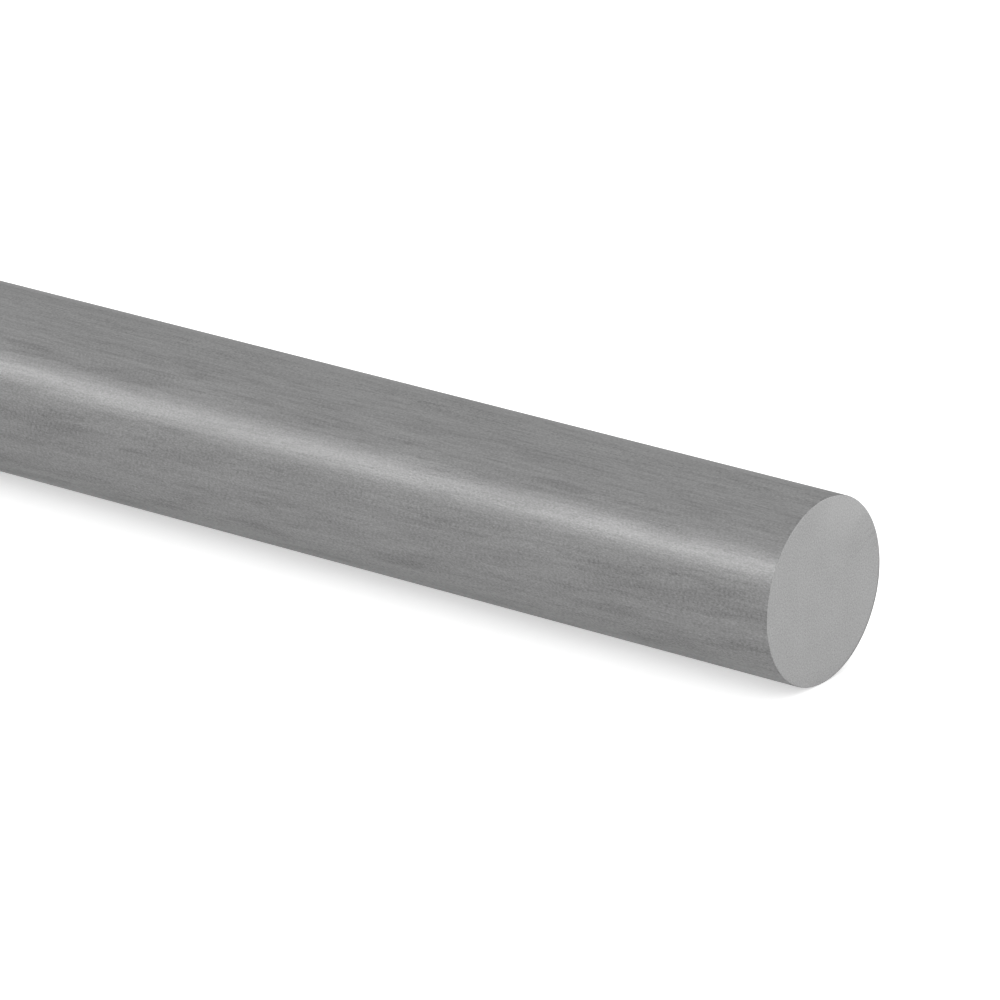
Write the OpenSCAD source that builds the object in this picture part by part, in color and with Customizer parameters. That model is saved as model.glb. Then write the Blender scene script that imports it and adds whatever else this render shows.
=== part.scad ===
// Round bar of woven glass cloth and epoxy resin, ground to diameter and sawn square at both ends.
// It lies along X on the plane Z = 0, with its middle over the origin. Millimetres.

/* [Bar] */
// Ground diameter of the bar
rod_d = 19.05; // [6:0.05:100]
// Length from one sawn face to the other
rod_len = 304.8; // [50:0.1:1220]

/* [Sawn ends] */
// How far the deburred edge takes in the rim of each sawn face
break_radial = 0.15; // [0.05:0.05:0.5]
// How far the deburred edge runs back along the ground surface
break_axial = 0.2; // [0.05:0.05:0.5]

/* [Hidden] */
rod_r = rod_d / 2;
face_r = rod_r - break_radial;
wall_end = rod_len / 2 - break_axial;
face_end = rod_len / 2;
ground_grey = [0.53, 0.53, 0.53];
round_fn = 96;

// Half of the bar's section along its length: the axis, the sawn face, the broken edge, the ground wall.
module half_section() {
    polygon([
        [0, -face_end],
        [face_r, -face_end],
        [rod_r, -wall_end],
        [rod_r, wall_end],
        [face_r, face_end],
        [0, face_end]
    ]);
}

// The bar, turned from its half section and laid down along X.
module rod() {
    color(ground_grey)
        translate([0, 0, rod_r])
            rotate([0, 90, 0])
                rotate_extrude($fn = round_fn)
                    half_section();
}

rod();
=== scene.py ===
"""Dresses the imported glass-cloth laminate bar and sets its floor, light and camera. Metres, Z up."""

import logging
import math
from dataclasses import dataclass
from enum import IntEnum

import bpy
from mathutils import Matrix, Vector


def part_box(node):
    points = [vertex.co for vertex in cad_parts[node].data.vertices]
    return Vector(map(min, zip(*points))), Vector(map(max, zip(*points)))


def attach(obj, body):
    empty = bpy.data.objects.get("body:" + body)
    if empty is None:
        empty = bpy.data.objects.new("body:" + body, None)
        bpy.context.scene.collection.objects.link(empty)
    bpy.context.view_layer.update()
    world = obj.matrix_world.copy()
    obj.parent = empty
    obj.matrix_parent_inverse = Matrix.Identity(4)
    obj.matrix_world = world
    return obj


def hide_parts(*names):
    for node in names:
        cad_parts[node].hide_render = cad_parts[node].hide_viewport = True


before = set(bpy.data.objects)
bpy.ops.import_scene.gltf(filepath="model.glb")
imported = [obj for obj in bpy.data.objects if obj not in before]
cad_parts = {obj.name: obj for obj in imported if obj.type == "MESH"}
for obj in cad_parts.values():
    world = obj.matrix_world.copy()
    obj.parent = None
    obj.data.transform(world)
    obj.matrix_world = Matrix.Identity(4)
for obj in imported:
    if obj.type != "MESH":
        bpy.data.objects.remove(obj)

LOG = logging.getLogger("laminate_bar")
BAKE_MAP = "OFBake"
MM = 0.001
WHITE = (1.0, 1.0, 1.0, 1.0)

Sizes = tuple[float, float, float]
Span = tuple[float, float]
Node = bpy.types.Node
Socket = bpy.types.NodeSocket
Feed = Socket | float | Sizes
Terms = list[tuple[Feed, Feed]]


class Surface(IntEnum):
    """The bar's two finishes, in the order of its material slots."""

    GROUND = 0
    SAWN = 1


@dataclass
class Sheet:
    """A node tree that is being drawn, with one short call for each kind of node the finishes use."""

    tree: bpy.types.NodeTree

    def node(self, kind: str, **settings: object) -> Node:
        """Adds a node.

        Args:
            kind: Blender's name for the node's class.
            settings: properties to set on the new node.

        Returns:
            The new node.
        """
        made = self.tree.nodes.new(kind)
        for name, value in settings.items():
            setattr(made, name, value)
        return made

    def put(self, target: Socket, value: Feed) -> None:
        """Feeds an input socket.

        Args:
            target: the input.
            value: an output socket to link from, or a plain value to set.
        """
        if isinstance(value, Socket):
            self.tree.links.new(value, target)
        else:
            target.default_value = value

    def math(self, operation: str, first: Feed, second: Feed = 0.0) -> Socket:
        """Adds a Math node.

        Args:
            operation: Blender's name for the sum, such as MULTIPLY.
            first: socket or number.
            second: socket or number.

        Returns:
            The result's socket.
        """
        made = self.node("ShaderNodeMath", operation=operation)
        self.put(made.inputs[0], first)
        self.put(made.inputs[1], second)
        return made.outputs[0]

    def summed(self, base: float, terms: Terms) -> Socket:
        """Adds weighted values to a base.

        Args:
            base: the number to start from.
            terms: sockets, each with its weight, a number or another socket.

        Returns:
            The sum's socket.
        """
        total: Feed = base
        for value, weight in terms:
            total = self.math("ADD", total, self.math("MULTIPLY", value, weight))
        return total

    def vector(self, operation: str, first: Feed, second: Feed) -> Socket:
        """Adds a Vector Math node.

        Args:
            operation: Blender's name for the sum.
            first: socket or triple.
            second: socket or triple.

        Returns:
            The resulting vector's socket.
        """
        made = self.node("ShaderNodeVectorMath", operation=operation)
        self.put(made.inputs[0], first)
        self.put(made.inputs[1], second)
        return made.outputs[0]

    def parts(self, vector: Socket) -> tuple[Socket, ...]:
        """Splits a vector.

        Args:
            vector: the vector's socket.

        Returns:
            The sockets of its X, Y and Z.
        """
        made = self.node("ShaderNodeSeparateXYZ")
        self.put(made.inputs[0], vector)
        return tuple(made.outputs)

    def joined(self, *values: Feed) -> Socket:
        """Joins three values into a vector.

        Args:
            values: sockets or numbers for X, Y and Z.

        Returns:
            The vector's socket.
        """
        made = self.node("ShaderNodeCombineXYZ")
        for socket, value in zip(made.inputs, values):
            self.put(socket, value)
        return made.outputs[0]

    def noise(self, place: Feed, grain: Feed, detail: float = 1.0, rough: float = 0.5) -> Socket:
        """Adds soft noise with its own size along each axis.

        Args:
            place: the position's socket, in millimetres.
            grain: size of the blotches along X, Y and Z, in millimetres, a triple or a socket.
            detail: how many finer octaves are added.
            rough: how strong the finer octaves are.

        Returns:
            A socket with the noise, about 0.5 and mostly within 0.25 to 0.75.
        """
        scaled = self.vector("DIVIDE", place, grain)
        made = self.node("ShaderNodeTexNoise", noise_dimensions="3D")
        self.put(made.inputs["Vector"], scaled)
        self.put(made.inputs["Scale"], 1.0)
        self.put(made.inputs["Detail"], detail)
        self.put(made.inputs["Roughness"], rough)
        return made.outputs["Fac"]

    def swing(self, place: Feed, grain: Feed, detail: float = 1.0, rough: float = 0.5) -> Socket:
        """Adds the same noise, shifted so that it swings about 0."""
        return self.math("SUBTRACT", self.noise(place, grain, detail, rough), 0.5)

    def ramp(self, value: Feed, low: float, high: float, start: float = 0.0,
             end: float = 1.0) -> Socket:
        """Adds a smooth step.

        Args:
            value: socket to map.
            low: value that gives start.
            high: value that gives end.
            start: result at low and below.
            end: result at high and above.

        Returns:
            The mapped value's socket.
        """
        made = self.node("ShaderNodeMapRange", interpolation_type="SMOOTHSTEP")
        for socket, number in zip(made.inputs, (value, low, high, start, end)):
            self.put(socket, number)
        return made.outputs[0]

    def wave(self, place: Feed, repeat: Feed, phase: Feed) -> Socket:
        """Adds a cosine wave.

        Args:
            place: socket with the position, in millimetres.
            repeat: the wave's length, in millimetres.
            phase: how far it is shifted, in wave lengths.

        Returns:
            The wave's socket, from -1 to 1.
        """
        turns = self.math("ADD", self.math("DIVIDE", place, repeat), phase)
        return self.math("COSINE", self.math("MULTIPLY", turns, math.tau))

    def tossed(self, number: Feed) -> Socket:
        """Adds a random value that is the same for the same number.

        Args:
            number: socket with a whole number.

        Returns:
            A socket with a value from 0 to 1.
        """
        made = self.node("ShaderNodeTexWhiteNoise", noise_dimensions="1D")
        self.put(made.inputs["W"], number)
        return made.outputs["Value"]

    def group(self, tree: bpy.types.NodeTree, **values: Feed) -> Node:
        """Places a node group.

        Args:
            tree: the group.
            values: what to feed its inputs, with _ for a space in a socket's name.

        Returns:
            The group's node.
        """
        made = self.node("ShaderNodeGroup", node_tree=tree)
        for name, value in values.items():
            self.put(made.inputs[name.replace("_", " ")], value)
        return made


def new_group(name: str, takes: dict[str, float | str],
              gives: tuple[str, ...]) -> tuple[Sheet, Node, Node]:
    """Starts a shader node group with named sockets.

    Args:
        name: the group's name.
        takes: each input's name with its usual number, or "vector".
        gives: names of the value outputs; one that ends in "Place" is a vector.

    Returns:
        The group's sheet, its input node and its output node.
    """
    tree = bpy.data.node_groups.new(name, "ShaderNodeTree")
    for label, usual in takes.items():
        kind = "NodeSocketVector" if usual == "vector" else "NodeSocketFloat"
        socket = tree.interface.new_socket(label, in_out="INPUT", socket_type=kind)
        if usual != "vector":
            socket.default_value = usual
    for label in gives:
        kind = "NodeSocketVector" if label.endswith("Place") else "NodeSocketFloat"
        tree.interface.new_socket(label, in_out="OUTPUT", socket_type=kind)
    sheet = Sheet(tree)
    return sheet, sheet.node("NodeGroupInput"), sheet.node("NodeGroupOutput")


def new_material(name: str) -> tuple[bpy.types.Material, Sheet]:
    """Starts a material, which has a Principled shader from the first.

    Args:
        name: the material's name.

    Returns:
        The material and the sheet of its nodes.
    """
    made = bpy.data.materials.new(name)
    made.use_nodes = True
    return made, Sheet(made.node_tree)


@dataclass(frozen=True)
class BarPlace:
    """Gives a point's place on the bar, in millimetres from the middle of its axis."""

    axis_height: float

    def group(self) -> bpy.types.NodeTree:
        """Builds the group.

        Returns:
            A tree with the output Bar Place.
        """
        sheet, _, out = new_group("bar_place", {}, ("Bar Place",))
        seen = sheet.node("ShaderNodeTexCoord").outputs["Object"]
        centred = sheet.vector("SUBTRACT", seen, (0.0, 0.0, self.axis_height))
        sheet.put(out.inputs["Bar Place"], sheet.vector("DIVIDE", centred, (MM, MM, MM)))
        return sheet.tree


@dataclass(frozen=True)
class ClothCut:
    """The pattern that grinding leaves where it cuts through the flat, slightly wavy plies of cloth.

    Lengths are in millimetres, depths in plies and shifts in turns of the threads' wave.
    """

    face_deg: float = -9.0
    ply: float = 0.36
    resin_share: float = 0.14
    wave: Sizes = (23.0, 3.2, 3.2)
    wave_plies: float = 5.5
    ripple: Sizes = (7.0, 1.0, 1.0)
    ripple_plies: float = 1.4
    fray: Sizes = (0.9, 0.35, 0.35)
    fray_plies: float = 1.0
    rock: Sizes = (9.0, 0.7, 0.7)
    rock_turns: float = 2.0
    thread_plies: float = 0.30
    layer_turns: float = 7.31
    drift: Sizes = (9.0, 2.2, 2.2)
    drift_turns: float = 0.6
    layer_rows: float = 17.0
    row_turns: float = 0.9
    row_power: float = 5.0
    alternate: float = 0.4
    alternate_span: Span = (0.7, 1.0)
    slope: float = 0.6
    hollow: Span = (-0.9, -0.1)
    crown: Span = (-0.1, 0.8)
    crown_share: float = 0.5
    bold_low: Span = (-0.15, -0.55)
    bold_low_share: float = 0.6
    bold_back: Span = (0.15, -0.10)

    def group(self) -> bpy.types.NodeTree:
        """Builds the group.

        Returns:
            A tree that takes a place in millimetres and the cloth's repeat along and across the
            bar. It gives Threads, from -1 to 1, Resin, between plies, Shade, each ply's own, Edge
            On, from 0 where the plies lie flat in the side to 1 where they are cut across, Bold,
            from 0 to 1, for the stretches low on the bar and on its back, and Gaps, which is 1
            between the rows of threads that run along the bar.
        """
        takes = {"Place": "vector", "Radius": 10.0, "Along Repeat": 0.577, "Across Repeat": 1.27}
        gives = ("Threads", "Resin", "Shade", "Edge On", "Bold", "Gaps")
        sheet, given, out = new_group("cloth_cut", takes, gives)
        _, across, up = sheet.parts(given.outputs["Place"])
        turn = math.radians(self.face_deg)
        through = sheet.summed(0.0, [(across, -math.cos(turn)), (up, math.sin(turn))])
        sideways = sheet.summed(0.0, [(across, math.sin(turn)), (up, math.cos(turn))])
        depth = self.depth(sheet, given, through, sideways)
        layer = sheet.math("FLOOR", depth)
        share = sheet.math("FRACT", depth)
        aside = sheet.math("DIVIDE", sideways, given.outputs["Radius"])
        edge_on = sheet.math("MULTIPLY", aside, aside)
        weave, gaps = self.weave(sheet, given, sideways, layer, edge_on)
        raised = sheet.math("SUBTRACT", weave, sheet.ramp(share, 0.0, 1.0, -self.slope, self.slope))
        sheet.put(out.inputs["Threads"], sheet.summed(0.0, [
            (sheet.ramp(raised, *self.hollow, -1.0, 0.0), 1.0),
            (sheet.ramp(raised, *self.crown), self.crown_share),
        ]))
        low = sheet.ramp(share, 0.0, self.resin_share, 1.0, 0.0)
        high = sheet.ramp(share, 1.0 - self.resin_share, 1.0)
        sheet.put(out.inputs["Resin"], sheet.math("MAXIMUM", low, high))
        sheet.put(out.inputs["Shade"], sheet.math("SUBTRACT", sheet.tossed(layer), 0.5))
        sheet.put(out.inputs["Edge On"], edge_on)
        behind = sheet.math("DIVIDE", through, given.outputs["Radius"])
        sheet.put(out.inputs["Bold"], sheet.math(
            "MAXIMUM",
            sheet.ramp(aside, *self.bold_low, 0.0, self.bold_low_share),
            sheet.ramp(behind, *self.bold_back)))
        sheet.put(out.inputs["Gaps"], gaps)
        return sheet.tree

    def depth(self, sheet: Sheet, given: Node, through: Socket, sideways: Socket) -> Socket:
        """Measures how deep a point lies in the stack of wavy plies.

        Args:
            sheet: the group's sheet.
            given: the group's input node.
            through: socket with the place across the plies.
            sideways: socket with the place across the bar, in the plies' own plane.

        Returns:
            A socket that grows by 1 from ply to ply.
        """
        place = given.outputs["Place"]
        along = sheet.parts(place)[0]
        rock = sheet.math("MULTIPLY", sheet.noise(place, self.rock), self.rock_turns)
        bed = sheet.math("MULTIPLY", sheet.wave(along, given.outputs["Along Repeat"], rock),
                         sheet.wave(sideways, given.outputs["Across Repeat"], 0.0))
        return sheet.summed(0.0, [
            (through, 1.0 / self.ply),
            (sheet.noise(place, self.wave), self.wave_plies),
            (sheet.noise(place, self.ripple), self.ripple_plies),
            (sheet.noise(place, self.fray), self.fray_plies),
            (bed, self.thread_plies),
        ])

    def weave(self, sheet: Sheet, given: Node, sideways: Socket, layer: Socket,
              edge_on: Socket) -> tuple[Socket, Socket]:
        """Draws each ply's thread crossings, in rows along the bar that each start at their own place.

        Args:
            sheet: the group's sheet.
            given: the group's input node.
            sideways: socket with the place across the bar, in the plies' own plane.
            layer: socket with the ply's number.
            edge_on: socket that is 1 where the plies are cut across.

        Returns:
            A socket with the weave, about -1 to 1, and one that is 1 between the rows.
        """
        place = given.outputs["Place"]
        along = sheet.parts(place)[0]
        repeat = given.outputs["Along Repeat"]
        nudge = sheet.summed(0.0, [
            (sheet.math("FRACT", sheet.math("MULTIPLY", layer, self.layer_turns)), 1.0),
            (sheet.noise(place, self.drift), self.drift_turns),
        ])
        crosswise = sheet.wave(sideways, given.outputs["Across Repeat"], nudge)
        # A row of crossings is half of the crosswise wave.
        rows = sheet.math("DIVIDE", sideways, given.outputs["Across Repeat"])
        row = sheet.math("FLOOR", sheet.summed(0.5, [(rows, 2.0), (nudge, 2.0)]))
        toss = sheet.tossed(sheet.summed(0.0, [(row, 1.0), (layer, self.layer_rows)]))
        start = sheet.summed(0.0, [(nudge, 1.0), (toss, self.row_turns)])
        lengthwise = sheet.wave(along, repeat, start)
        alternate = sheet.wave(along, sheet.math("MULTIPLY", repeat, 2.0), start)
        weave = sheet.summed(0.0, [
            (lengthwise, sheet.math("POWER", crosswise, self.row_power)),
            (alternate, sheet.ramp(edge_on, *self.alternate_span, 0.0, self.alternate)),
        ])
        crest = sheet.math("MULTIPLY", crosswise, crosswise)
        return weave, sheet.math("SUBTRACT", 1.0, crest)


@dataclass(frozen=True)
class GlassGrain:
    """The fine grain of cut glass threads: an even speckle with sparse bright and dark specks.

    Lengths are in millimetres, and a dot's reach is a share of the spacing.
    """

    contrast: float = 4.0
    speck_spacing: float = 1.1
    speck_reach: float = 0.10
    pit_spacing: float = 3.0
    pit_reach: float = 0.04
    dot_core: float = 0.4

    def group(self) -> bpy.types.NodeTree:
        """Builds the group.

        Returns:
            A tree that takes a place and the grain's size along and across, and gives Grain, from
            -1 to 1, Specks and Pits.
        """
        takes = {"Place": "vector", "Stretch": 1.0, "Size": 0.16}
        sheet, given, out = new_group("glass_grain", takes, ("Grain", "Specks", "Pits"))
        place = given.outputs["Place"]
        wide = given.outputs["Size"]
        length = sheet.math("MULTIPLY", wide, given.outputs["Stretch"])
        speckle = sheet.swing(place, sheet.joined(length, wide, wide))
        sheet.put(out.inputs["Grain"], sheet.math("MULTIPLY", speckle, self.contrast))
        sheet.put(out.inputs["Specks"], self.dots(sheet, place, self.speck_spacing, self.speck_reach))
        sheet.put(out.inputs["Pits"], self.dots(sheet, place, self.pit_spacing, self.pit_reach))
        return sheet.tree

    def dots(self, sheet: Sheet, place: Socket, spacing: float, reach: float) -> Socket:
        """Scatters small round dots.

        Args:
            sheet: the group's sheet.
            place: the place's socket.
            spacing: mean distance between dots, in millimetres.
            reach: a dot's radius as a share of the spacing.

        Returns:
            A socket that is 1 in the middle of a dot and 0 off it.
        """
        cells = sheet.node("ShaderNodeTexVoronoi", voronoi_dimensions="3D", feature="F1")
        sheet.put(cells.inputs["Vector"], place)
        sheet.put(cells.inputs["Scale"], 1.0 / spacing)
        return sheet.ramp(cells.outputs["Distance"], reach * self.dot_core, reach, 1.0, 0.0)


@dataclass(frozen=True)
class SawMarksAndHighlight:
    """Marks on a cut end: faint scratches from sawing near one side and a paler patch that is a painted
    highlight.

    Places are across and up from the bar's axis, in millimetres.
    """

    scratch: Sizes = (6.0, 2.6, 0.15)
    scratch_cut: Span = (0.38, 0.52)
    tilt: float = math.radians(16.0)
    scratches_at: Span = (7.4, 3.7)
    scratches_reach: Span = (4.8, 3.2)
    # Where the painted highlight, a paler patch near the top of the end, sits and how far it reaches.
    painted_highlight_at: Span = (4.6, 9.0)
    painted_highlight_reach: Span = (7.8, 6.0)
    patch_core: float = 0.3

    def group(self) -> bpy.types.NodeTree:
        """Builds the group.

        Returns:
            A tree that takes a place and gives Scratches and Painted Highlight, both from 0 to 1.
        """
        sheet, given, out = new_group("saw_marks_and_highlight", {"Place": "vector"}, ("Scratches", "Painted Highlight"))
        along, across, up = sheet.parts(given.outputs["Place"])
        turned = sheet.joined(
            along,
            sheet.summed(0.0, [(across, math.cos(self.tilt)), (up, math.sin(self.tilt))]),
            sheet.summed(0.0, [(up, math.cos(self.tilt)), (across, -math.sin(self.tilt))]))
        drawn = sheet.ramp(sheet.noise(turned, self.scratch), *self.scratch_cut, 1.0, 0.0)
        near = self.patch(sheet, across, up, self.scratches_at, self.scratches_reach)
        # A paler patch near the top of the end: a painted highlight.
        painted_highlight = self.patch(sheet, across, up, self.painted_highlight_at, self.painted_highlight_reach)
        sheet.put(out.inputs["Scratches"], sheet.math("MULTIPLY", drawn, near))
        sheet.put(out.inputs["Painted Highlight"], painted_highlight)
        return sheet.tree

    def patch(self, sheet: Sheet, across: Socket, up: Socket, middle: Span, reach: Span) -> Socket:
        """Marks a soft oval patch of the cut end.

        Args:
            sheet: the group's sheet.
            across: socket with the place across the bar.
            up: socket with the place upwards.
            middle: the patch's middle, across and up from the bar's axis.
            reach: how far it reaches across and up.

        Returns:
            A socket that is 1 in the patch's middle and 0 outside it.
        """
        total: Feed = 0.0
        for place, centre, half in zip((across, up), middle, reach):
            share = sheet.math("DIVIDE", sheet.math("SUBTRACT", place, centre), half)
            total = sheet.math("ADD", total, sheet.math("MULTIPLY", share, share))
        return sheet.ramp(sheet.math("SQRT", total), self.patch_core, 1.0, 1.0, 0.0)


@dataclass(frozen=True)
class Effects:
    """The shader groups that the bar's finishes share."""

    place: bpy.types.NodeTree
    cloth: bpy.types.NodeTree
    grain: bpy.types.NodeTree
    saw_and_highlight: bpy.types.NodeTree


@dataclass(frozen=True)
class Finish:
    """What the bar's finishes share: a neutral grey, a roughness, a gloss and a fine relief."""

    radius: float
    shade: float
    roughness: float
    relief: float
    gloss: float = 0.5
    refraction: float = 1.55

    def feed(self, sheet: Sheet, tone: Socket, roughness: Terms, height: Terms) -> None:
        """Feeds the material's shader.

        Args:
            sheet: the material's sheet.
            tone: socket that multiplies the mean shade, about 1.
            roughness: what changes the mean roughness, each with its weight.
            height: what makes the relief, each with its weight.
        """
        shader = sheet.tree.nodes["Principled BSDF"]
        grey = sheet.node("ShaderNodeCombineColor")
        value = sheet.math("MULTIPLY", tone, self.shade)
        for socket in grey.inputs:
            sheet.put(socket, value)
        sheet.put(shader.inputs["Base Color"], grey.outputs["Color"])
        sheet.put(shader.inputs["Roughness"], sheet.summed(self.roughness, roughness))
        sheet.put(shader.inputs["Specular IOR Level"], self.gloss)
        sheet.put(shader.inputs["IOR"], self.refraction)
        bump = sheet.node("ShaderNodeBump")
        sheet.put(bump.inputs["Strength"], 1.0)
        sheet.put(bump.inputs["Distance"], self.relief)
        sheet.put(bump.inputs["Height"], sheet.summed(0.0, height))
        sheet.put(shader.inputs["Normal"], bump.outputs["Normal"])


@dataclass(frozen=True)
class GroundFinish(Finish):
    """The side: ground round and left satin, with the cut cloth showing in it.

    A mark has its sizes along, across and up in millimetres, the noise levels that its outline is
    cut at, and its tone, a share of the mean shade. A pair of tones is for plies that lie flat in
    the side and for plies cut across, and a span says between which two it fades.
    """

    shade: float = 0.232
    roughness: float = 0.348
    relief: float = 3.3e-6
    along_repeat: float = 0.577
    across_repeat: float = 1.27
    lean: float = 0.09
    thread_tone: Span = (0.085, 0.060)
    thread_pools: Span = (0.85, 0.45)
    resin_tone: float = -0.035
    bold_tone: float = 0.55
    ply_tone: Span = (0.09, 0.054)
    dash: Sizes = (5.0, 0.18, 0.18)
    dash_cut: Span = (0.35, 0.47)
    dash_gaps: float = -0.14
    dash_tone: Span = (-0.062, -0.090)
    dash_span: Span = (0.0, 0.9)
    score: Sizes = (10.0, 0.34, 0.34)
    score_cut: Span = (0.33, 0.46)
    score_tone: float = -0.06
    grain_size: float = 0.125
    grain_stretch: float = 2.2
    grain_tone: Span = (0.205, 0.142)
    grain_span: Span = (0.2, 0.9)
    speck_tone: float = 0.14
    pit_tone: float = -0.25
    streak: Sizes = (9.0, 0.6, 0.6)
    streak_detail: float = 2.0
    streak_fineness: float = 0.6
    streak_tone: float = 0.20
    pool: Sizes = (13.0, 1.7, 1.7)
    pool_cut: Span = (0.50, 0.66)
    pool_tone: Span = (-0.11, -0.06)
    cloud: Sizes = (15.0, 2.3, 2.3)
    cloud_tone: Span = (0.22, 0.15)
    broad_span: Span = (0.7, 1.0)
    thread_roughness: float = 0.005
    cloud_roughness: float = -0.06
    grain_roughness: float = -0.03
    thread_height: float = 0.06
    dash_height: float = -0.15
    pit_height: float = -2.0

    def material(self, effects: Effects) -> bpy.types.Material:
        """Builds the material.

        Args:
            effects: the shared shader groups.

        Returns:
            The finished material.
        """
        made, sheet = new_material("ground_laminate")
        place = sheet.group(effects.place).outputs["Bar Place"]
        cloth = sheet.group(effects.cloth, Place=place, Radius=self.radius / MM,
                            Along_Repeat=self.along_repeat, Across_Repeat=self.across_repeat)
        grain = sheet.group(effects.grain, Place=place, Stretch=self.grain_stretch,
                            Size=self.grain_size)
        leaning = self.leaned(sheet, place)
        drawn = sheet.summed(0.0, [
            (sheet.noise(place, self.dash), 1.0),
            (cloth.outputs["Gaps"], self.dash_gaps),
        ])
        dashes = sheet.ramp(drawn, *self.dash_cut, 1.0, 0.0)
        scores = sheet.ramp(sheet.noise(leaning, self.score), *self.score_cut, 1.0, 0.0)
        streaks = sheet.swing(place, self.streak, self.streak_detail, self.streak_fineness)
        pools = sheet.ramp(sheet.noise(leaning, self.pool), *self.pool_cut)
        clouds = sheet.swing(place, self.cloud)
        usual, more = self.thread_pools
        threads = sheet.math("MULTIPLY", cloth.outputs["Threads"],
                             sheet.summed(usual, [(pools, more)]))
        edge = cloth.outputs["Edge On"]
        fine = sheet.summed(0.0, [
            (threads, sheet.ramp(edge, 0.0, 1.0, *self.thread_tone)),
            (cloth.outputs["Resin"], self.resin_tone),
            (dashes, sheet.ramp(edge, *self.dash_span, *self.dash_tone)),
            (scores, self.score_tone),
            (grain.outputs["Grain"], sheet.ramp(edge, *self.grain_span, *self.grain_tone)),
            (grain.outputs["Specks"], self.speck_tone),
            (grain.outputs["Pits"], self.pit_tone),
        ])
        broad = sheet.summed(1.0, [
            (cloth.outputs["Shade"], sheet.ramp(edge, 0.0, 1.0, *self.ply_tone)),
            (streaks, self.streak_tone),
            (pools, sheet.ramp(edge, *self.broad_span, *self.pool_tone)),
            (clouds, sheet.ramp(edge, *self.broad_span, *self.cloud_tone)),
        ])
        bolder = sheet.summed(1.0, [(cloth.outputs["Bold"], self.bold_tone)])
        tone = sheet.math("ADD", sheet.math("MULTIPLY", fine, bolder), broad)
        self.feed(sheet, tone, roughness=[
            (cloth.outputs["Threads"], self.thread_roughness),
            (clouds, self.cloud_roughness),
            (grain.outputs["Grain"], self.grain_roughness),
        ], height=[
            (grain.outputs["Grain"], 1.0),
            (cloth.outputs["Threads"], self.thread_height),
            (dashes, self.dash_height),
            (grain.outputs["Pits"], self.pit_height),
        ])
        return made

    def leaned(self, sheet: Sheet, place: Socket) -> Socket:
        """Leans a place a little, as the cloth's long marks lean from the bar's axis.

        Args:
            sheet: the material's sheet.
            place: the place's socket.

        Returns:
            The leaned place's socket.
        """
        along, across, up = sheet.parts(place)
        return sheet.joined(along, across, sheet.summed(0.0, [(up, 1.0), (along, -self.lean)]))


@dataclass(frozen=True)
class SawnFinish(Finish):
    """The two ends: sawn across the threads, paler and more matt than the side.

    Tones are shares of the mean shade, and the rim's width is in millimetres.
    """

    shade: float = 0.337
    roughness: float = 0.62
    relief: float = 4.0e-6
    grain_size: float = 0.15
    grain_tone: float = 0.23
    # The bright specks on the ends are painted glints of the cut fibre ends.
    speck_tone: float = 0.20
    pit_tone: float = -0.12
    cloud: Sizes = (3.0, 3.0, 3.0)
    cloud_detail: float = 2.0
    cloud_tone: float = 0.13
    scratch_tone: float = -0.09
    # How much paler the painted highlight near the top of the end is.
    painted_highlight_tone: float = 0.12
    # A painted shade line round the rim, mostly low on its +Y side.
    painted_rim_shade_tone: float = -0.34
    rim_width: float = 0.34
    rim_soft: float = 0.25
    rim_turn: float = math.radians(-32.0)
    rim_span: Span = (0.65, 0.95)
    grain_roughness: float = 0.05
    scratch_height: float = -0.8

    def material(self, effects: Effects) -> bpy.types.Material:
        """Builds the material.

        Args:
            effects: the shared shader groups.

        Returns:
            The finished material.
        """
        made, sheet = new_material("sawn_laminate")
        place = sheet.group(effects.place).outputs["Bar Place"]
        grain = sheet.group(effects.grain, Place=place, Stretch=1.0, Size=self.grain_size)
        saw_and_highlight = sheet.group(effects.saw_and_highlight, Place=place)
        clouds = sheet.swing(place, self.cloud, self.cloud_detail)
        tone = sheet.summed(1.0, [
            (grain.outputs["Grain"], self.grain_tone),
            # Painted glints: bright specks for the cut fibre ends.
            (grain.outputs["Specks"], self.speck_tone),
            (grain.outputs["Pits"], self.pit_tone),
            (clouds, self.cloud_tone),
            (saw_and_highlight.outputs["Scratches"], self.scratch_tone),
            # Painted highlight: a paler patch near the top of the end.
            (saw_and_highlight.outputs["Painted Highlight"], self.painted_highlight_tone),
            # Painted shade: a darker line round the rim, low on its +Y side.
            (self.rim(sheet, place), self.painted_rim_shade_tone),
        ])
        self.feed(sheet, tone, roughness=[
            (grain.outputs["Grain"], self.grain_roughness),
        ], height=[
            (grain.outputs["Grain"], 1.0),
            (saw_and_highlight.outputs["Scratches"], self.scratch_height),
        ])
        return made

    def rim(self, sheet: Sheet, place: Socket) -> Socket:
        """Marks a painted shade line round the rim, mostly low on its +Y side.

        Args:
            sheet: the material's sheet.
            place: the place's socket.

        Returns:
            A socket that is 1 in the line and 0 off it.
        """
        _, across, up = sheet.parts(place)
        out = sheet.math("SQRT", sheet.summed(0.0, [(across, across), (up, up)]))
        radius = self.radius / MM
        inner = radius - self.rim_width
        line = sheet.ramp(out, inner, inner + self.rim_width * self.rim_soft)
        aside = sheet.summed(0.0, [
            (across, math.cos(self.rim_turn) / radius),
            (up, math.sin(self.rim_turn) / radius),
        ])
        return sheet.math("MULTIPLY", line, sheet.ramp(aside, *self.rim_span))


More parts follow.
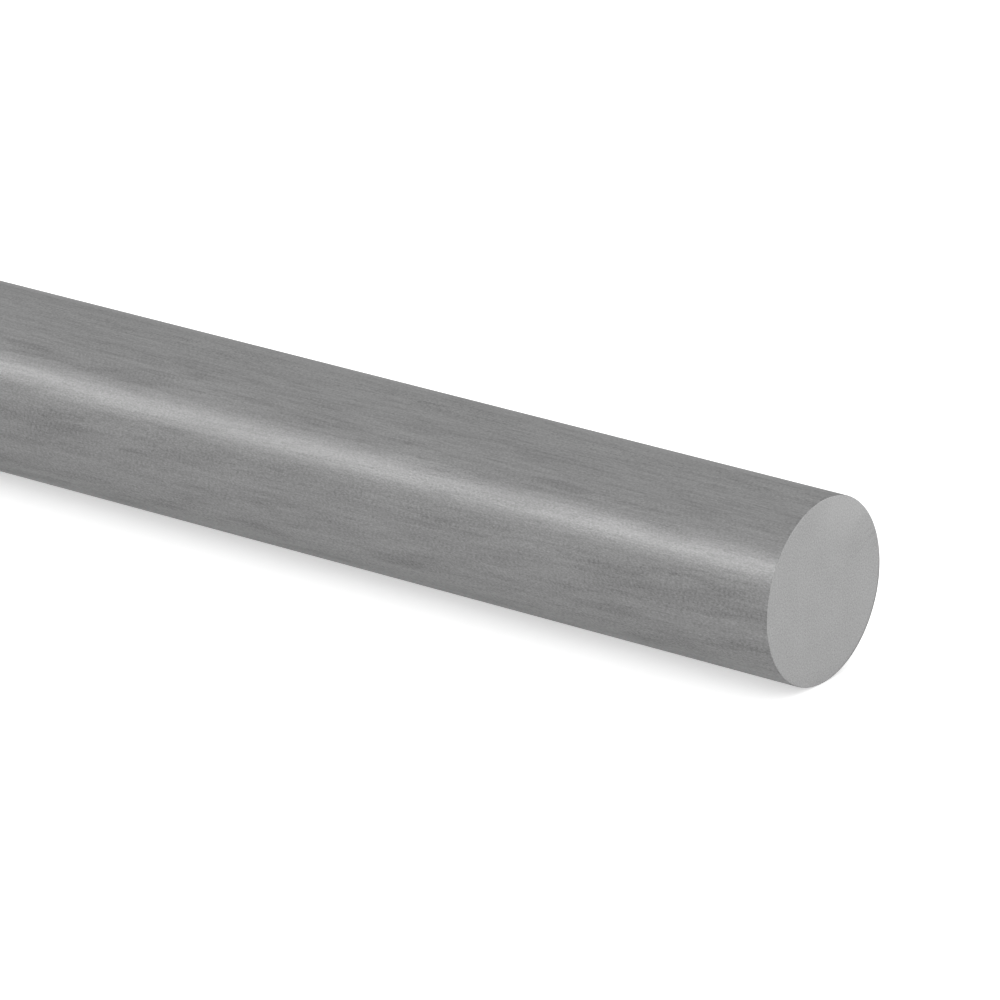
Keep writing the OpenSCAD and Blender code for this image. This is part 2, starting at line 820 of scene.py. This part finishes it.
@dataclass
class LaminateBar:
    """The bar: one body with a ground side, two sawn ends and a broken edge round each."""

    length: float
    radius: float
    break_radial: float = 0.15 * MM
    break_axial: float = 0.20 * MM
    break_steps: int = 4
    sawn_slant: float = 0.7
    around: int = 192
    ring_spacing: float = 4.0 * MM
    touch: float = 0.01 * MM
    smooth_deg: float = 50.0
    flat_gap: float = 0.9 * MM
    flat_slant: float = 0.99
    end_scale: float = 1.6
    piece: bpy.types.Object | None = None

    @property
    def axis_height(self) -> float:
        """How high the bar's axis lies over the floor."""
        return self.radius

    def near_face(self) -> Vector:
        """The middle of the sawn end that the camera sees."""
        return Vector((self.length / 2.0, 0.0, self.axis_height))

    @property
    def wall(self) -> float:
        """How far the ground side runs from the bar's middle, up to the broken edge."""
        return self.length / 2.0 - self.break_axial

    def stations(self) -> list[tuple[float, float]]:
        """Lists the rings that shape the bar, from the far end to the near one.

        Returns:
            Pairs of a ring's place along X and its radius.
        """
        end = self.length / 2.0
        rounded = []
        for part in range(self.break_steps + 1):
            turn = math.pi / 2.0 * part / self.break_steps
            inset = self.break_axial * (1.0 - math.sin(turn))
            rounded.append((end - inset, self.radius - self.break_radial * (1.0 - math.cos(turn))))
        count = round(2.0 * self.wall / self.ring_spacing)
        step = 2.0 * self.wall / count
        inner = [(-self.wall + step * ring, self.radius) for ring in range(1, count)]
        far = [(-place, radius) for place, radius in reversed(rounded)]
        return far + inner + rounded

    def build(self) -> None:
        """Models the bar from a ring of points, drawn out along X and closed with a grid at each end."""
        rings = self.stations()
        start, radius = rings[0]
        bpy.ops.object.select_all(action="DESELECT")
        bpy.ops.mesh.primitive_circle_add(
            vertices=self.around, radius=radius, fill_type="NOTHING",
            location=(start, 0.0, self.axis_height), rotation=(0.0, math.pi / 2.0, 0.0))
        self.piece = bpy.context.active_object
        self.piece.name = "laminate_bar"
        self.piece.data.name = "laminate_bar"
        bpy.ops.object.transform_apply(location=True, rotation=True, scale=True)
        bpy.ops.object.mode_set(mode="EDIT")
        bpy.ops.mesh.select_all(action="SELECT")
        place = start
        for along, wide in rings[1:]:
            self.draw_out(along - place, wide / radius, along)
            place, radius = along, wide
        self.close_ends()
        bpy.ops.mesh.select_all(action="SELECT")
        bpy.ops.mesh.normals_make_consistent(inside=False)
        bpy.ops.object.mode_set(mode="OBJECT")

    def draw_out(self, step: float, growth: float, along: float) -> None:
        """Extrudes the selected ring along X and sets its new width.

        Args:
            step: how far the new ring lies from the last.
            growth: the new ring's radius over the last one's.
            along: the new ring's place.
        """
        bpy.ops.mesh.extrude_edges_move(TRANSFORM_OT_translate={"value": (step, 0.0, 0.0)})
        if growth != 1.0:
            bpy.ops.transform.resize(
                value=(1.0, growth, growth), center_override=(along, 0.0, self.axis_height))

    def close_ends(self) -> None:
        """Fills both end rings with an even grid of faces."""
        for sign in (-1.0, 1.0):
            self.select_ring(sign * self.length / 2.0)
            bpy.ops.mesh.fill_grid(span=self.around // 4)

    def select_ring(self, along: float) -> None:
        """Selects the edges of the ring at a place.

        Args:
            along: the ring's place along X.
        """
        bpy.ops.mesh.select_all(action="DESELECT")
        bpy.ops.object.mode_set(mode="OBJECT")
        mesh = self.piece.data
        for vertex in mesh.vertices:
            vertex.select = abs(vertex.co.x - along) < self.touch
        for edge in mesh.edges:
            edge.select = all(mesh.vertices[index].select for index in edge.vertices)
        bpy.ops.object.mode_set(mode="EDIT")

    def dress(self, effects: Effects) -> None:
        """Gives the side and the ends their finishes and smooths the side.

        Args:
            effects: the shared shader groups.
        """
        mesh = self.piece.data
        mesh.materials.append(GroundFinish(self.radius).material(effects))
        mesh.materials.append(SawnFinish(self.radius).material(effects))
        for face in mesh.polygons:
            sawn = abs(face.normal.x) > self.sawn_slant
            face.material_index = Surface.SAWN if sawn else Surface.GROUND
        bpy.ops.object.shade_smooth_by_angle(angle=math.radians(self.smooth_deg))

    def lay_flat(self) -> None:
        """Maps the surface flat for baking: the side as two strips, the enlarged ends above them."""
        mesh = self.piece.data
        layer = mesh.uv_layers.new(name=BAKE_MAP)
        width = self.run(self.length / 2.0, self.radius - self.break_radial) + 2.0 * self.flat_gap
        for face in mesh.polygons:
            near = face.center.x > 0.0
            at_end = abs(face.normal.x) > self.flat_slant
            for corner in face.loop_indices:
                spot = mesh.vertices[mesh.loops[corner].vertex_index].co
                place = self.end_spot(spot, near) if at_end else self.side_spot(spot, face.center)
                layer.data[corner].uv = (place[0] / width, place[1] / width)

    def run(self, along: float, out: float) -> float:
        """Measures the way over the surface from the middle of the bar.

        Args:
            along: a point's distance from the bar's middle.
            out: its distance from the axis.

        Returns:
            The way to it, along the side and over the broken edge.
        """
        return min(along, self.wall) + math.hypot(max(along - self.wall, 0.0), self.radius - out)

    def turn(self, spot: Vector) -> float:
        """The angle of a point round the axis, from the lowest line up the front, over 0 to one turn."""
        return math.atan2(-spot.y, self.axis_height - spot.z) % math.tau

    def side_spot(self, spot: Vector, middle: Vector) -> tuple[float, float]:
        """Finds where a corner of a face of the side lies on the flat map.

        Args:
            spot: the corner.
            middle: the face's middle, which tells its strip and its side of the seam.

        Returns:
            Its place on the map, in metres.
        """
        near = middle.x > 0.0
        way = self.run(abs(spot.x), math.hypot(spot.y, spot.z - self.axis_height))
        longest = self.run(self.length / 2.0, self.radius - self.break_radial)
        usual = self.turn(middle)
        turn = usual + (self.turn(spot) - usual + math.pi) % math.tau - math.pi
        height = self.flat_gap + (0.0 if near else self.flat_gap + math.tau * self.radius)
        return self.flat_gap + (way if near else longest - way), height + turn * self.radius

    def end_spot(self, spot: Vector, near: bool) -> tuple[float, float]:
        """Finds where a corner of a sawn end lies on the flat map, which shows the ends enlarged.

        Args:
            spot: the corner.
            near: whether it is the near end.

        Returns:
            Its place on the map, in metres.
        """
        reach = self.radius * self.end_scale
        middle = self.flat_gap + reach + (0.0 if near else self.flat_gap + 2.0 * reach)
        height = 3.0 * self.flat_gap + 2.0 * math.tau * self.radius + reach
        aside = (spot.y if near else -spot.y) * self.end_scale
        return middle + aside, height + (spot.z - self.axis_height) * self.end_scale

    def declare(self) -> None:
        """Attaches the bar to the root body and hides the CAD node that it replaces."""
        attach(self.piece, "root")
        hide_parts("rod")


@dataclass(frozen=True)
class Studio:
    """A plain white floor under an even white dome, with long strip lights for the gloss."""

    floor_size: float = 8.0
    floor_shade: float = 0.86
    floor_roughness: float = 0.9
    floor_glow: float = 0.21
    floor_glow_seen: float = 0.50
    dome: float = 1.09
    sky_in_gloss: float = 0.41
    ground_in_gloss: float = 0.46
    horizon: Span = (-0.1, 0.1)
    strip_radiance: float = 8.8
    strip_width: float = 0.26
    strip_distance: float = 1.1
    strip_height_deg: float = 34.6
    front_strip: Span = (-2.0, 1.2)
    back_strip: Span = (0.5, 2.5)

    def floor(self) -> None:
        """Lays the floor, which the bar's gloss doesn't mirror."""
        bpy.ops.object.select_all(action="DESELECT")
        bpy.ops.mesh.primitive_plane_add(size=self.floor_size)
        laid = bpy.context.active_object
        laid.name = "floor"
        laid.visible_glossy = False
        paint, sheet = new_material("floor_paint")
        shader = sheet.tree.nodes["Principled BSDF"]
        shader.inputs["Base Color"].default_value = (*[self.floor_shade] * 3, 1.0)
        shader.inputs["Roughness"].default_value = self.floor_roughness
        shader.inputs["Specular IOR Level"].default_value = 0.0
        shader.inputs["Emission Color"].default_value = WHITE
        seen = sheet.node("ShaderNodeLightPath").outputs["Is Camera Ray"]
        sheet.put(shader.inputs["Emission Strength"],
                  sheet.summed(self.floor_glow, [(seen, self.floor_glow_seen - self.floor_glow)]))
        laid.data.materials.append(paint)

    def dome_light(self) -> None:
        """Sets the even white surroundings, dimmer where gloss mirrors them."""
        world = bpy.data.worlds.new("dome")
        world.use_nodes = True
        sheet = Sheet(world.node_tree)
        backdrop = world.node_tree.nodes["Background"]
        backdrop.inputs["Color"].default_value = WHITE
        height = sheet.parts(sheet.node("ShaderNodeTexCoord").outputs["Generated"])[2]
        mirrored = sheet.ramp(height, *self.horizon, self.ground_in_gloss, self.sky_in_gloss)
        choice = sheet.node("ShaderNodeMix", data_type="FLOAT")
        sheet.put(choice.inputs["Factor"], sheet.node("ShaderNodeLightPath").outputs["Is Glossy Ray"])
        sheet.put(choice.inputs["A"], self.dome)
        sheet.put(choice.inputs["B"], mirrored)
        sheet.put(backdrop.inputs["Strength"], choice.outputs["Result"])
        bpy.context.scene.world = world

    def strip(self, name: str, reach: Span, aside: Vector, height: float) -> None:
        """Hangs a strip light that runs along X and shows only in gloss.

        Args:
            name: the light's name.
            reach: where it starts and ends along X.
            aside: where it hangs from the bar's axis.
            height: how high that axis lies.
        """
        start, end = reach
        middle = Vector(((start + end) / 2.0, 0.0, height))
        bpy.ops.object.light_add(type="AREA", location=middle + aside)
        lamp = bpy.context.active_object
        lamp.name = name
        lamp.data.shape = "RECTANGLE"
        lamp.data.size, lamp.data.size_y = end - start, self.strip_width
        lamp.data.energy = self.strip_radiance * math.pi * (end - start) * self.strip_width
        lamp.rotation_euler = aside.to_track_quat("Z", "Y").to_euler()
        lamp.visible_diffuse = False

    def lights(self, bar: LaminateBar) -> None:
        """Hangs one strip light before the bar and one behind it.

        Args:
            bar: the bar to light.
        """
        tilt = math.radians(self.strip_height_deg)
        before = Vector((0.0, -math.cos(tilt), math.sin(tilt))) * self.strip_distance
        behind = Vector((0.0, -before.y, before.z))
        self.strip("strip_before", self.front_strip, before, bar.axis_height)
        self.strip("strip_behind", self.back_strip, behind, bar.axis_height)


@dataclass(frozen=True)
class PhotoCamera:
    """The photograph's camera, placed in bar radii from the middle of the near sawn end."""

    lens: float = 296.0
    sensor: float = 36.0
    azimuth_deg: float = 36.89
    elevation_deg: float = 20.39
    stand_off: Sizes = (43.877, -63.911, 29.776)
    clip: Span = (0.01, 50.0)

    def set_up(self, bar: LaminateBar) -> None:
        """Makes it the scene's camera.

        Args:
            bar: the bar that it looks at.
        """
        place = bar.near_face() + Vector(self.stand_off) * bar.radius
        turn = (math.radians(90.0 - self.elevation_deg), 0.0, math.radians(self.azimuth_deg))
        bpy.ops.object.camera_add(location=place, rotation=turn)
        camera = bpy.context.active_object
        camera.name = "photo_camera"
        camera.data.lens = self.lens
        camera.data.sensor_width = self.sensor
        camera.data.clip_start, camera.data.clip_end = self.clip
        bpy.context.scene.camera = camera


def main() -> None:
    """Builds the bar, dresses it, lights it and sets the camera."""
    logging.basicConfig(level=logging.INFO, format="%(name)s: %(message)s")
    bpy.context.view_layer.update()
    low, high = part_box("rod")
    bar = LaminateBar(length=high.x - low.x, radius=(high.z - low.z) / 2.0)
    PhotoCamera().set_up(bar)
    effects = Effects(
        place=BarPlace(bar.axis_height).group(),
        cloth=ClothCut().group(),
        grain=GlassGrain().group(),
        saw_and_highlight=SawMarksAndHighlight().group(),
    )
    bar.build()
    bar.dress(effects)
    bar.lay_flat()
    bar.declare()
    LOG.info("%s: %d faces", bar.piece.name, len(bar.piece.data.polygons))
    studio = Studio()
    studio.floor()
    studio.dome_light()
    studio.lights(bar)
    bpy.context.scene.view_settings.view_transform = "Standard"


if __name__ == "__main__":
    main()
